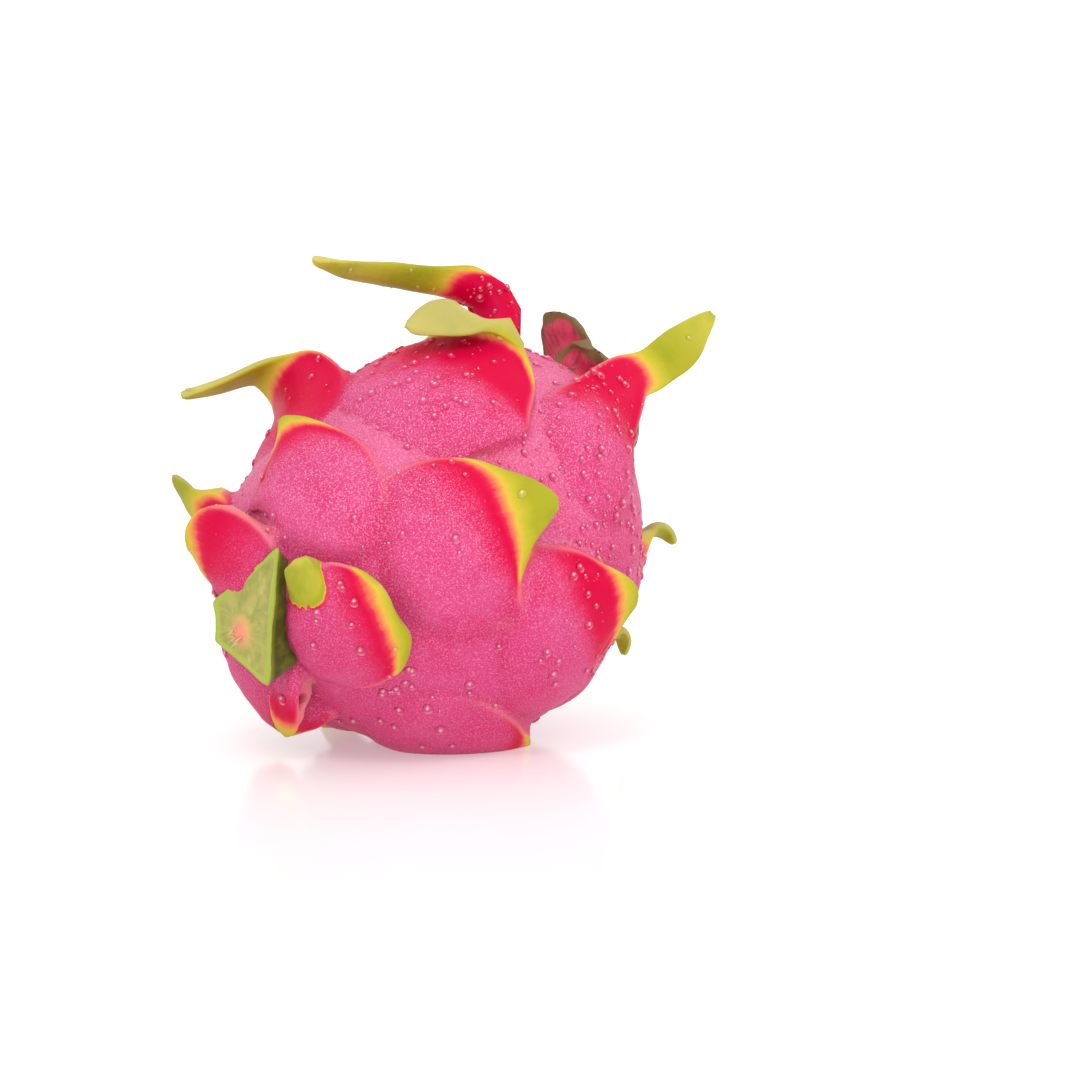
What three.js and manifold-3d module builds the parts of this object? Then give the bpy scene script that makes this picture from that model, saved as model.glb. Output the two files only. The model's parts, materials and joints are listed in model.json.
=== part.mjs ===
// A whole dragon fruit, as picked, lying on its side: a plump rind whose fleshy scales grow out of it,
// the cut stub of the cactus stem at one end and the withered flower at the other.
// Millimetres and degrees, +Z up. The fruit's axis lies in the XZ plane, its flower end towards +X and
// raised. The origin is in the middle of the flat spot that it rests on.
//
// A place on the fruit is given as station, azimuth and height. Station runs from 0 at the stem end to
// 180 at the flower end, azimuth goes round the axis from 0 at the top through 90 at the -Y side, and
// height is measured out from the rind.
import * as THREE from "three";
import { mergeVertices } from "three/addons/utils/BufferGeometryUtils.js";
import Module from "manifold-3d";

const wasm = await Module();
wasm.setup();

// The body
const BODY_LENGTH = 106;
const BODY_RADIUS = 46;
const BODY_FULLNESS = 0.92; // below 1 makes the ends blunter than an ellipsoid's
const BELLY_SAG = 9; // how far the middle of the body hangs below the line between its ends
const AXIS_TILT = 24;
const AXIS_HEIGHT = 53; // of the middle of that line above the surface
const NAVEL_DEPTH = 8;
const NAVEL_RADIUS = 9;

// The scales
const EDGE_THICKNESS = 1;
const BLADE_THICKNESS = 2.6;
const ROOT_DEPTH = 2.5; // how far under the rind the solid of a scale reaches
const FREE_FROM = 3; // the height at which a scale starts to leave the rind
const FREE_OVER = 6; // the further height over which it becomes a free blade
const BLADE_CUP = 0.03; // curvature across a free blade, per millimetre
const GAP = 0.3; // between the rind and what sits on it

// The stem's stub, a slice across a cactus stem of three ribs
const STUB_LENGTH = 14; // back from the cut, which is upright and faces -X
const STUB_OUT = 6; // of the middle of the cut beyond the rind's end
const STUB_RISE = 3; // and towards the top
const STUB_RIBS = [
  [13.5, 22],
  [9, -12],
  [-11.5, -3.5],
  [-12.5, 6.5],
]; // the corners of the ribs on the cut, towards the -Y side and upwards; the third rib is blunt
const STUB_WAIST = 0.1; // how far the sides between two ribs are drawn in
const STUB_TAPER = 0.6; // the size of the stub's hidden end as a share of the cut
const CORE_PLACE = [-1.5, 0];
const CORE_RADIUS = 3.2;

// The withered flower
const FLAP_LENGTHS = [1, 0.5, 0.3, 0.5, 0.8, 0.9, 0.9]; // of each flap, as shares of the first one's
const FLAP_PATH = [
  [158, -2, 6],
  [164, 2, 8.5],
  [164, 7, 10.5],
  [160, 12, 9.5],
  [156, 16.5, 4],
]; // station, height and half width from the root to the tip
const FLAP_THICKNESS = 1.2;
const FLAP_CLOSING = 6; // how far the lowest flaps lean inwards, in degrees of station
const FLAP_START = -20; // the azimuth of the first one

// Fineness
const BODY_ROWS = 24;
const BODY_COLUMNS = 36;
const ROWS_PER_SPAN = 2;
const SCALE_COLUMNS = 6;
const HIDDEN_COLUMNS = 4;

const deg = THREE.MathUtils.degToRad;
const vec = (x, y, z) => new THREE.Vector3(x, y, z);
const AXIS = vec(Math.cos(deg(AXIS_TILT)), 0, Math.sin(deg(AXIS_TILT)));
const TOP = vec(-Math.sin(deg(AXIS_TILT)), 0, Math.cos(deg(AXIS_TILT)));
const SIDE = vec(0, -1, 0);
const MIDDLE = vec(0, 0, AXIS_HEIGHT);
const UP = vec(0, 0, 1);

// The scales of the front. Each row of a path is a station, an azimuth, a height and a half width, from
// the root to the tip, and bulge is how far a scale's margins fall away while it lies on the rind.
const FRONT_SCALES = {
  upperLeftShield: {
    bulge: 2.5,
    path: [
      [26, 24, -2, 14],
      [35, 24, 2.5, 20.5],
      [43, 19, 3.8, 21.5],
      [49.5, 12.5, 4.2, 18.5],
      [55, 5, 4.6, 13],
      [60, -2, 5.4, 6.5],
      [64, -8, 7, 1],
    ],
  },
  middleShield: {
    bulge: 3,
    path: [
      [40, 76, -2, 12],
      [50, 72, 2.5, 18],
      [60, 68, 3.8, 22.5],
      [68, 65, 4.5, 22.5],
      [75, 64.5, 5, 17.5],
      [82, 66, 6.3, 10],
      [87, 68, 7.8, 5],
      [90.5, 70, 9, 1],
    ],
  },
  topFoldedBack: {
    bulge: 1.2,
    twist: 20,
    path: [
      [70, 24, -2, 16],
      [82, 20, 3, 25],
      [94, 16, 4.5, 29],
      [105, 14, 5, 24],
      [112, 12, 5.5, 17],
      [115, 11, 6.8, 12],
      [113, 10, 8.6, 9.5],
      [106, 8.5, 9.5, 7],
      [97, 7, 10.8, 1.5],
    ],
  },
  rightHorn: {
    bulge: 3,
    path: [
      [96, 74, -2, 12],
      [110, 69, 2, 16],
      [122, 63, 4, 15],
      [134, 59, 5.5, 10],
      [143, 57, 9.5, 6.5],
      [150, 60.5, 15, 5.4],
      [155, 60.5, 24, 5.4],
      [157, 58.5, 31, 3.6],
      [158, 57, 37.3, 1.1],
    ],
  },
  leftHorn: {
    bulge: 2.5,
    path: [
      [56, -32, -2, 16],
      [67, -33, 2.2, 23],
      [76, -34, 4, 25.5],
      [82, -35, 7, 21],
      [85.5, -36, 10.5, 14.5],
      [86.5, -36.5, 13.5, 8.5],
      [83, -36.5, 15.8, 5.2],
      [74, -36, 18.3, 3.5],
      [64.5, -36, 23.3, 0.5],
    ],
  },
  topHorn: {
    bulge: 2,
    cup: 0.15,
    twist: -25,
    path: [
      [116, -16, -2, 16],
      [128, -19, 3, 22],
      [136, -20.5, 6.5, 20],
      [139.5, -20.5, 9.7, 16],
      [134, -18.5, 12.2, 11.5],
      [121, -16.5, 15.8, 7],
      [107, -15.5, 22.2, 4.8],
      [96.5, -15, 30, 0.6],
    ],
  },
  farLeftSpur: {
    bulge: 2,
    path: [
      [28, -50, -2, 7],
      [38, -50, 2, 10],
      [45, -50, 5, 8],
      [48, -50, 9, 5],
      [52, -50, 13.5, 3],
      [55, -50, 18, 0.5],
    ],
  },
  leftOfStem: {
    bulge: 2,
    path: [
      [3, -33, -2, 8],
      [8, -31, 1.5, 13],
      [13, -28, 3.4, 17],
      [17.5, -26, 5, 19.5],
      [21, -28, 6.3, 17],
      [23.5, -34, 7.5, 11],
      [25.5, -42, 8.8, 3.5],
    ],
  },
  rightOfStem: {
    bulge: 3,
    path: [
      [4, 100, -2, 8],
      [12, 94, 3, 12.5],
      [21, 86.5, 5, 16],
      [30, 79, 6, 17],
      [36.5, 74, 6.8, 14.5],
      [41, 71, 7.4, 10.5],
      [44, 70, 7.8, 5],
    ],
  },
  leafletByStem: {
    bulge: 1,
    twist: -25,
    path: [
      [16, 64, 1, 3],
      [21, 58, 4, 5],
      [26, 51, 5.5, 5.5],
      [30, 45, 6.5, 4],
      [32, 40, 7, 1],
    ],
  },
  spurUnderStem: {
    bulge: 1.5,
    path: [
      [8, 160, 1, 4],
      [14, 170, 6, 5.5],
      [20, 181, 8.5, 4.5],
      [25.5, 191, 10.5, 0.8],
    ],
  },
  belowStem: {
    bulge: 2,
    path: [
      [10, -140, -2, 10],
      [18, -143, 3, 18],
      [25, -147, 6.5, 21],
      [31, -152, 8.3, 16],
      [34.5, -156, 9.2, 4],
    ],
  },
  lowRight: {
    bulge: 3,
    path: [
      [60, 118, -2, 16],
      [72, 112, 2.5, 25],
      [82, 107, 3.8, 29],
      [90, 105, 4.5, 21],
      [96, 105, 5.3, 13],
      [101, 105.5, 6.5, 7],
      [105, 106.5, 8, 1],
    ],
  },
  underFront: {
    bulge: 2.5,
    path: [
      [28, 146, -2, 12],
      [42, 150, 2, 19],
      [56, 154, 3, 20],
      [68, 156, 4, 15],
      [77, 157, 5, 7],
      [82, 158, 6, 0.8],
    ],
  },
};

// The scales of the back and the underside stand in the same staggered rings. Towards the flower end
// they are narrower and end in longer tongues.
const RINGS = [
  { root: 28, span: 38, azimuths: [-96, -144], half: 18, rise: 5, tongue: 8 },
  { root: 56, span: 40, azimuths: [-80, -124, -170], half: 18, rise: 5, tongue: 15 },
  { root: 88, span: 40, azimuths: [-62, -104, -148, 168], half: 17, rise: 5, tongue: 18 },
  { root: 114, span: 34, azimuths: [-78, -126, -172, 152], half: 14, rise: 6, tongue: 12 },
];
const RING_BULGE = 2.5;
const RING_JITTER = 5; // in degrees, of the roots and azimuths
const TONGUE_ROOM = 0.5; // the share of the room above the surface that a tongue may take
const SEED = 322324079;

function onRind(station, azimuth) {
  const psi = deg(station);
  const phi = deg(azimuth);
  const share = Math.cos(psi);
  const radius = BODY_RADIUS * Math.abs(Math.sin(psi)) ** BODY_FULLNESS;
  const navel = station > 90 ? NAVEL_DEPTH * Math.exp(-((radius / NAVEL_RADIUS) ** 2)) : 0;
  return MIDDLE.clone()
    .addScaledVector(AXIS, (-BODY_LENGTH / 2) * share - navel)
    .addScaledVector(TOP, radius * Math.cos(phi) - BELLY_SAG * (1 - share ** 2))
    .addScaledVector(SIDE, radius * Math.sin(phi));
}

// Directions at a place on the rind: out from it, and round the axis.
function directionsAt(station, azimuth) {
  const step = 0.25;
  const s = THREE.MathUtils.clamp(station, 1, 179);
  const phi = deg(azimuth);
  const round = TOP.clone().multiplyScalar(-Math.sin(phi)).addScaledVector(SIDE, Math.cos(phi));
  const onward = onRind(s + step, azimuth).sub(onRind(s - step, azimuth));
  const out = new THREE.Vector3().crossVectors(round, onward).normalize();
  return { out, round };
}

function outFrom(station, azimuth, height) {
  return onRind(station, azimuth).addScaledVector(directionsAt(station, azimuth).out, height);
}

// A Catmull-Rom curve through rows of numbers, for t from 0 to 1.
function curveThrough(rows, t) {
  const last = rows.length - 1;
  const before = rows[0].map((x, k) => 2 * x - rows[1][k]);
  const after = rows[last].map((x, k) => 2 * x - rows[last - 1][k]);
  const all = [before, ...rows, after];
  const place = THREE.MathUtils.clamp(t, 0, 1) * last;
  const span = Math.min(Math.floor(place), last - 1);
  const f = place - span;
  const [a, b, c, d] = all.slice(span, span + 4);
  return a.map((_, k) => {
    const square = 2 * a[k] - 5 * b[k] + 4 * c[k] - d[k];
    const cube = 3 * b[k] - a[k] - 3 * c[k] + d[k];
    return 0.5 * (2 * b[k] + (c[k] - a[k]) * f + square * f ** 2 + cube * f ** 3);
  });
}

function closedSolid(points, triangles) {
  const geometry = new THREE.BufferGeometry().setFromPoints(points);
  geometry.setIndex(triangles);
  return solidOf(geometry);
}

function solidOf(geometry) {
  const bare = geometry.clone();
  bare.deleteAttribute("normal");
  bare.deleteAttribute("uv");
  const merged = mergeVertices(bare, 1e-4);
  const mesh = new wasm.Mesh({
    numProp: 3,
    vertProperties: merged.attributes.position.array,
    triVerts: new Uint32Array(merged.index.array),
  });
  return new wasm.Manifold(mesh);
}

function geometryOf(solid) {
  const mesh = solid.getMesh();
  const geometry = new THREE.BufferGeometry();
  geometry.setAttribute("position", new THREE.Float32BufferAttribute(mesh.vertProperties, 3));
  geometry.setIndex(new THREE.Uint32BufferAttribute(mesh.triVerts, 1));
  geometry.computeVertexNormals();
  return geometry;
}

// The body without its scales, grown by an even amount.
function bodySolid(grown) {
  const points = [outFrom(0, 0, grown)];
  const triangles = [];
  const at = (row, column) => 1 + (row - 1) * BODY_COLUMNS + (column % BODY_COLUMNS);
  for (let row = 1; row < BODY_ROWS; row++)
    for (let column = 0; column < BODY_COLUMNS; column++)
      points.push(outFrom((180 * row) / BODY_ROWS, (360 * column) / BODY_COLUMNS, grown));
  const stemPole = 0;
  const flowerPole = points.push(outFrom(180, 0, grown)) - 1;
  for (let column = 0; column < BODY_COLUMNS; column++) {
    triangles.push(stemPole, at(1, column + 1), at(1, column));
    triangles.push(flowerPole, at(BODY_ROWS - 1, column), at(BODY_ROWS - 1, column + 1));
    for (let row = 1; row < BODY_ROWS - 1; row++) {
      triangles.push(at(row, column), at(row, column + 1), at(row + 1, column + 1));
      triangles.push(at(row, column), at(row + 1, column + 1), at(row + 1, column));
    }
  }
  return closedSolid(points, triangles);
}

// A leaf-shaped solid along a path. Where it lies low, its outer face follows the rind and its inner
// face is under it. Higher up it becomes a free blade, cupped across and twisted towards its tip.
function scaleSolid(scale, columns, grown = 0) {
  const { path, bulge, cup = BLADE_CUP, twist = 0, blade = BLADE_THICKNESS } = scale;
  const rows = (path.length - 1) * ROWS_PER_SPAN;
  const places = Array.from({ length: rows + 1 }, (_, i) => curveThrough(path, i / rows));
  const centres = places.map(([station, azimuth, height]) => outFrom(station, azimuth, height));
  const points = [];
  let facing = 1;
  places.forEach(([station, azimuth, height, half], i) => {
    const { out, round } = directionsAt(station, azimuth);
    const run = centres[Math.min(i + 1, rows)].clone().sub(centres[Math.max(i - 1, 0)]).normalize();
    const across = round.clone().addScaledVector(run, -round.dot(run)).normalize();
    const face = new THREE.Vector3().crossVectors(across, run);
    if (i === 0) facing = Math.sign(face.dot(out));
    face.multiplyScalar(facing);
    const turn = deg(twist) * THREE.MathUtils.smoothstep(i / rows, 0.4, 1);
    const free = THREE.MathUtils.smoothstep(height, FREE_FROM, FREE_FROM + FREE_OVER);
    const radius = BODY_RADIUS * Math.sin(deg(station)) ** BODY_FULLNESS;
    const radial = new THREE.Vector3().crossVectors(round, AXIS);
    const hug = Math.abs(out.dot(radial)) / Math.max(radius, 4);
    const bend = hug * (1 - free) + cup * free;
    const outer = [];
    const inner = [];
    for (let j = 0; j <= columns; j++) {
      const w = Math.sin((j / columns - 0.5) * Math.PI);
      const x = (half + grown) * w;
      const crown = Math.sqrt(1 - w * w);
      const fall = bulge * (1 - free) * Math.abs(w) ** 2.5;
      const angle = bend * x;
      const local = new THREE.Vector2(Math.sin(angle), Math.cos(angle) - 1).divideScalar(bend);
      local.y += grown - fall;
      const bladeDepth = EDGE_THICKNESS + (blade - EDGE_THICKNESS) * crown;
      const rootedDepth = Math.max(height - fall + ROOT_DEPTH, EDGE_THICKNESS);
      const depth = rootedDepth * (1 - free) + bladeDepth * free + 2 * grown;
      const inward = new THREE.Vector2(-Math.sin(angle), -Math.cos(angle));
      const under = local.clone().addScaledVector(inward, depth);
      const inSpace = (flat) => {
        flat.rotateAround(new THREE.Vector2(), turn);
        return centres[i].clone().addScaledVector(across, flat.x).addScaledVector(face, flat.y);
      };
      outer.push(inSpace(local));
      inner.push(inSpace(under));
    }
    points.push(...outer, ...inner.reverse());
  });
  return closedSolid(points, tubeTriangles(rows, 2 * (columns + 1), facing));
}

// Triangles of a tube of rings, closed at both ends by joining each ring's two halves.
function tubeTriangles(rows, ring, facing) {
  const triangles = [];
  const push = (a, b, c) => triangles.push(...(facing > 0 ? [a, b, c] : [a, c, b]));
  for (let i = 0; i < rows; i++)
    for (let k = 0; k < ring; k++) {
      const a = i * ring + k;
      const b = i * ring + ((k + 1) % ring);
      push(a, b, b + ring);
      push(a, b + ring, a + ring);
    }
  for (let k = 0; k < ring / 2 - 1; k++) {
    const other = ring - 1 - k;
    push(k, other, k + 1);
    push(k + 1, other, other - 1);
    const end = rows * ring;
    push(end + k, end + k + 1, end + other);
    push(end + k + 1, end + other - 1, end + other);
  }
  return triangles;
}

// The same draws each time, evenly between 0 and 1.
function seededDraws(seed) {
  let state = seed;
  return () => {
    state = (Math.imul(state, 1664525) + 1013904223) >>> 0;
    return state / 2 ** 32;
  };
}

function ringScale({ root, span, half, rise, tongue }, azimuth, draw) {
  const start = root + RING_JITTER * (draw() - 0.5);
  const middle = azimuth + RING_JITTER * (draw() - 0.5);
  const veer = RING_JITTER * (draw() - 0.5);
  const tip = start + span;
  const room = outFrom(tip, azimuth, rise).z * TONGUE_ROOM;
  const length = Math.min(tongue, room) * (0.8 + 0.4 * draw());
  const pressed = Math.abs(middle) > 140 && tip < 120 ? 0.5 : 1;
  const path = [
    [start, middle, -2, 0.6 * half],
    [start + 0.3 * span, middle, 2.5 * pressed, half],
    [start + 0.55 * span, middle + veer, 4 * pressed, 0.95 * half],
    [start + 0.78 * span, middle + veer, rise * pressed, 0.62 * half],
    [start + 0.93 * span, middle + 2 * veer, rise * pressed + 0.25 * length, 0.36 * half],
    [tip, middle + 2 * veer, rise * pressed + 0.6 * length, 0.24 * half],
    [tip - 0.1 * span, middle + 3 * veer, rise * pressed + length, 0.5],
  ];
  return { bulge: RING_BULGE, path };
}

function hiddenScales() {
  const draw = seededDraws(SEED);
  return RINGS.flatMap((ring) => ring.azimuths.map((azimuth) => ringScale(ring, azimuth, draw)));
}

// What lies below the surface that the fruit rests on.
function ground() {
  const size = 400;
  const box = new THREE.BoxGeometry(size, size, size);
  box.translate(0, 0, -size / 2);
  return solidOf(box);
}

function fruitSolid(grown) {
  const front = Object.values(FRONT_SCALES).map((scale) => scaleSolid(scale, SCALE_COLUMNS, grown));
  const hidden = hiddenScales().map((scale) => scaleSolid(scale, HIDDEN_COLUMNS, grown));
  return [...front, ...hidden].reduce((whole, scale) => whole.add(scale), bodySolid(grown));
}

// The stub's outline has three ribs with the sides between them drawn in.
function stubOutline() {
  const outline = new THREE.Shape();
  const [first] = STUB_RIBS;
  outline.moveTo(first[0], first[1]);
  STUB_RIBS.forEach((rib, i) => {
    const next = STUB_RIBS[(i + 1) % STUB_RIBS.length];
    const waist = [0, 1].map((k) => ((rib[k] + next[k]) / 2) * (1 - STUB_WAIST));
    outline.quadraticCurveTo(waist[0], waist[1], next[0], next[1]);
  });
  return outline;
}

// Draws a slice in towards its hidden end.
function taper(slice) {
  const points = slice.attributes.position;
  for (let i = 0; i < points.count; i++) {
    const size = STUB_TAPER + ((1 - STUB_TAPER) * points.getZ(i)) / STUB_LENGTH;
    points.setXY(i, points.getX(i) * size, points.getY(i) * size);
  }
}

function stemStubSolid() {
  const slice = new THREE.ExtrudeGeometry(stubOutline(), {
    depth: STUB_LENGTH,
    bevelEnabled: false,
    curveSegments: 5,
  });
  const core = new THREE.SphereGeometry(CORE_RADIUS, 10, 8);
  core.translate(CORE_PLACE[0], CORE_PLACE[1], STUB_LENGTH);
  const cutFacing = vec(-1, 0, 0);
  const cutMiddle = onRind(0, 0).addScaledVector(AXIS, -STUB_OUT).addScaledVector(TOP, STUB_RISE);
  const place = new THREE.Matrix4().makeBasis(SIDE, UP, cutFacing);
  place.setPosition(cutMiddle.addScaledVector(cutFacing, -STUB_LENGTH));
  taper(slice);
  slice.applyMatrix4(place);
  core.applyMatrix4(place);
  return solidOf(slice).add(solidOf(core));
}

function flowerSolid() {
  const flaps = FLAP_LENGTHS.map((length, k) => {
    const azimuth = FLAP_START + (360 * k) / FLAP_LENGTHS.length;
    const lowness = 1 - Math.cos(deg(azimuth));
    const path = FLAP_PATH.map(([station, height, half], i) => [
      station + (FLAP_CLOSING * lowness * i) / (FLAP_PATH.length - 1),
      azimuth,
      height * length,
      half,
    ]);
    return scaleSolid({ path, bulge: 0, cup: 0.05, blade: FLAP_THICKNESS }, HIDDEN_COLUMNS);
  });
  return flaps.reduce((whole, flap) => whole.add(flap));
}

// What is left in one piece after a cut, without its loose scraps.
function largestPiece(solid) {
  const pieces = solid.decompose();
  return pieces.reduce((best, piece) => (piece.volume() > best.volume() ? piece : best));
}

function mesh(name, solid, colour, roughness) {
  const material = new THREE.MeshStandardMaterial({ color: colour, roughness, metalness: 0 });
  const piece = new THREE.Mesh(geometryOf(solid), material);
  piece.name = name;
  return piece;
}

const grownFruit = fruitSolid(GAP);
const fruit = largestPiece(fruitSolid(0).subtract(ground()));
const stemStub = largestPiece(stemStubSolid().subtract(grownFruit));
const witheredFlower = largestPiece(flowerSolid().subtract(grownFruit));

const dragonFruit = new THREE.Group();
dragonFruit.add(mesh("fruit", fruit, 0xe83c78, 0.5));
dragonFruit.add(mesh("stem_stub", stemStub, 0xa0aa32, 0.6));
dragonFruit.add(mesh("withered_flower", witheredFlower, 0xb06070, 0.8));

export default dragonFruit;
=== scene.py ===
# The looks of a whole dragon fruit: its rind with the fleshy scales, the cut stub of the stem, the
# withered flower, and the water on its skin. Shapes are worked out in millimetres and made in metres.
#
# A place on the fruit is given as station, azimuth and height. Station runs from 0 at the stem end to
# 180 at the flower end, azimuth goes round the axis from 0 at the top through 90 at the -Y side, and
# height is measured out from the rind.
import json
import math
import bpy
import numpy as np
from mathutils import Matrix, Vector, noise
from mathutils.kdtree import KDTree

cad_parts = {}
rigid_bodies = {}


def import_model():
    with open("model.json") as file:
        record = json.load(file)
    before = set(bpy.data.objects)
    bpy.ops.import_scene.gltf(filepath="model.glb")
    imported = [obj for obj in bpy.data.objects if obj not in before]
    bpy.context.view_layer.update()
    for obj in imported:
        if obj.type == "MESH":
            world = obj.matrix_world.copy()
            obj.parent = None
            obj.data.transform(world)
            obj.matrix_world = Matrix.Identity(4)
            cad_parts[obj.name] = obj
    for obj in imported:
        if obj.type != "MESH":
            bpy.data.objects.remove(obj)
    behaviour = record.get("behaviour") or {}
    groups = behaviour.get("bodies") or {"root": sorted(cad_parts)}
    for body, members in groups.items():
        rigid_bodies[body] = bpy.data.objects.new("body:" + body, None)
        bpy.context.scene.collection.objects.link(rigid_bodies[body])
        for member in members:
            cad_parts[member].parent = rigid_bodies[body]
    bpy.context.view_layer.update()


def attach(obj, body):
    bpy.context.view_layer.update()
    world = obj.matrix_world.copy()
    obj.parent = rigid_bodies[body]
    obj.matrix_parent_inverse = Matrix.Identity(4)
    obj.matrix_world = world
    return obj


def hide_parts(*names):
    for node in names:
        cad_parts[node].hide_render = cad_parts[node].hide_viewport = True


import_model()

MM = 0.001

# The body, as in the part's source
BODY_LENGTH = 106
BODY_RADIUS = 46
BODY_FULLNESS = 0.92
BELLY_SAG = 9
AXIS_TILT = math.radians(24)
AXIS_HEIGHT = 53
NAVEL_DEPTH = 8
NAVEL_RADIUS = 9

# The scales, as in the part's source
EDGE_THICKNESS = 1
BLADE_THICKNESS = 2.6
ROOT_DEPTH = 2.5
FREE_FROM = 3
FREE_OVER = 6
BLADE_CUP = 0.03

# The stem's stub, as in the part's source
STUB_LENGTH = 14
STUB_OUT = 6
STUB_RISE = 3
STUB_RIBS = [(13.5, 22), (9, -12), (-11.5, -3.5), (-12.5, 6.5)]
STUB_WAIST = 0.1
STUB_TAPER = 0.6
CORE_PLACE = (-1.5, 0)
CORE_RADIUS = 3.2

# The withered flower, as in the part's source
FLAP_LENGTHS = [1, 0.5, 0.3, 0.5, 0.8, 0.9, 0.9]
FLAP_PATH = [(158, -2, 6), (164, 2, 8.5), (164, 7, 10.5), (160, 12, 9.5), (156, 16.5, 4)]
FLAP_THICKNESS = 1.2
FLAP_CLOSING = 6
FLAP_START = -20

# Fineness, in millimetres and counts
ROW_STEP = 1.0
BODY_ROWS = 160
BODY_COLUMNS = 240
FRONT_COLUMNS = 28
HIDDEN_COLUMNS = 20

AXIS = np.array([math.cos(AXIS_TILT), 0, math.sin(AXIS_TILT)])
TOP = np.array([-math.sin(AXIS_TILT), 0, math.cos(AXIS_TILT)])
SIDE = np.array([0.0, -1.0, 0.0])
MIDDLE = np.array([0, 0, AXIS_HEIGHT])
UP = np.array([0.0, 0.0, 1.0])

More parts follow.
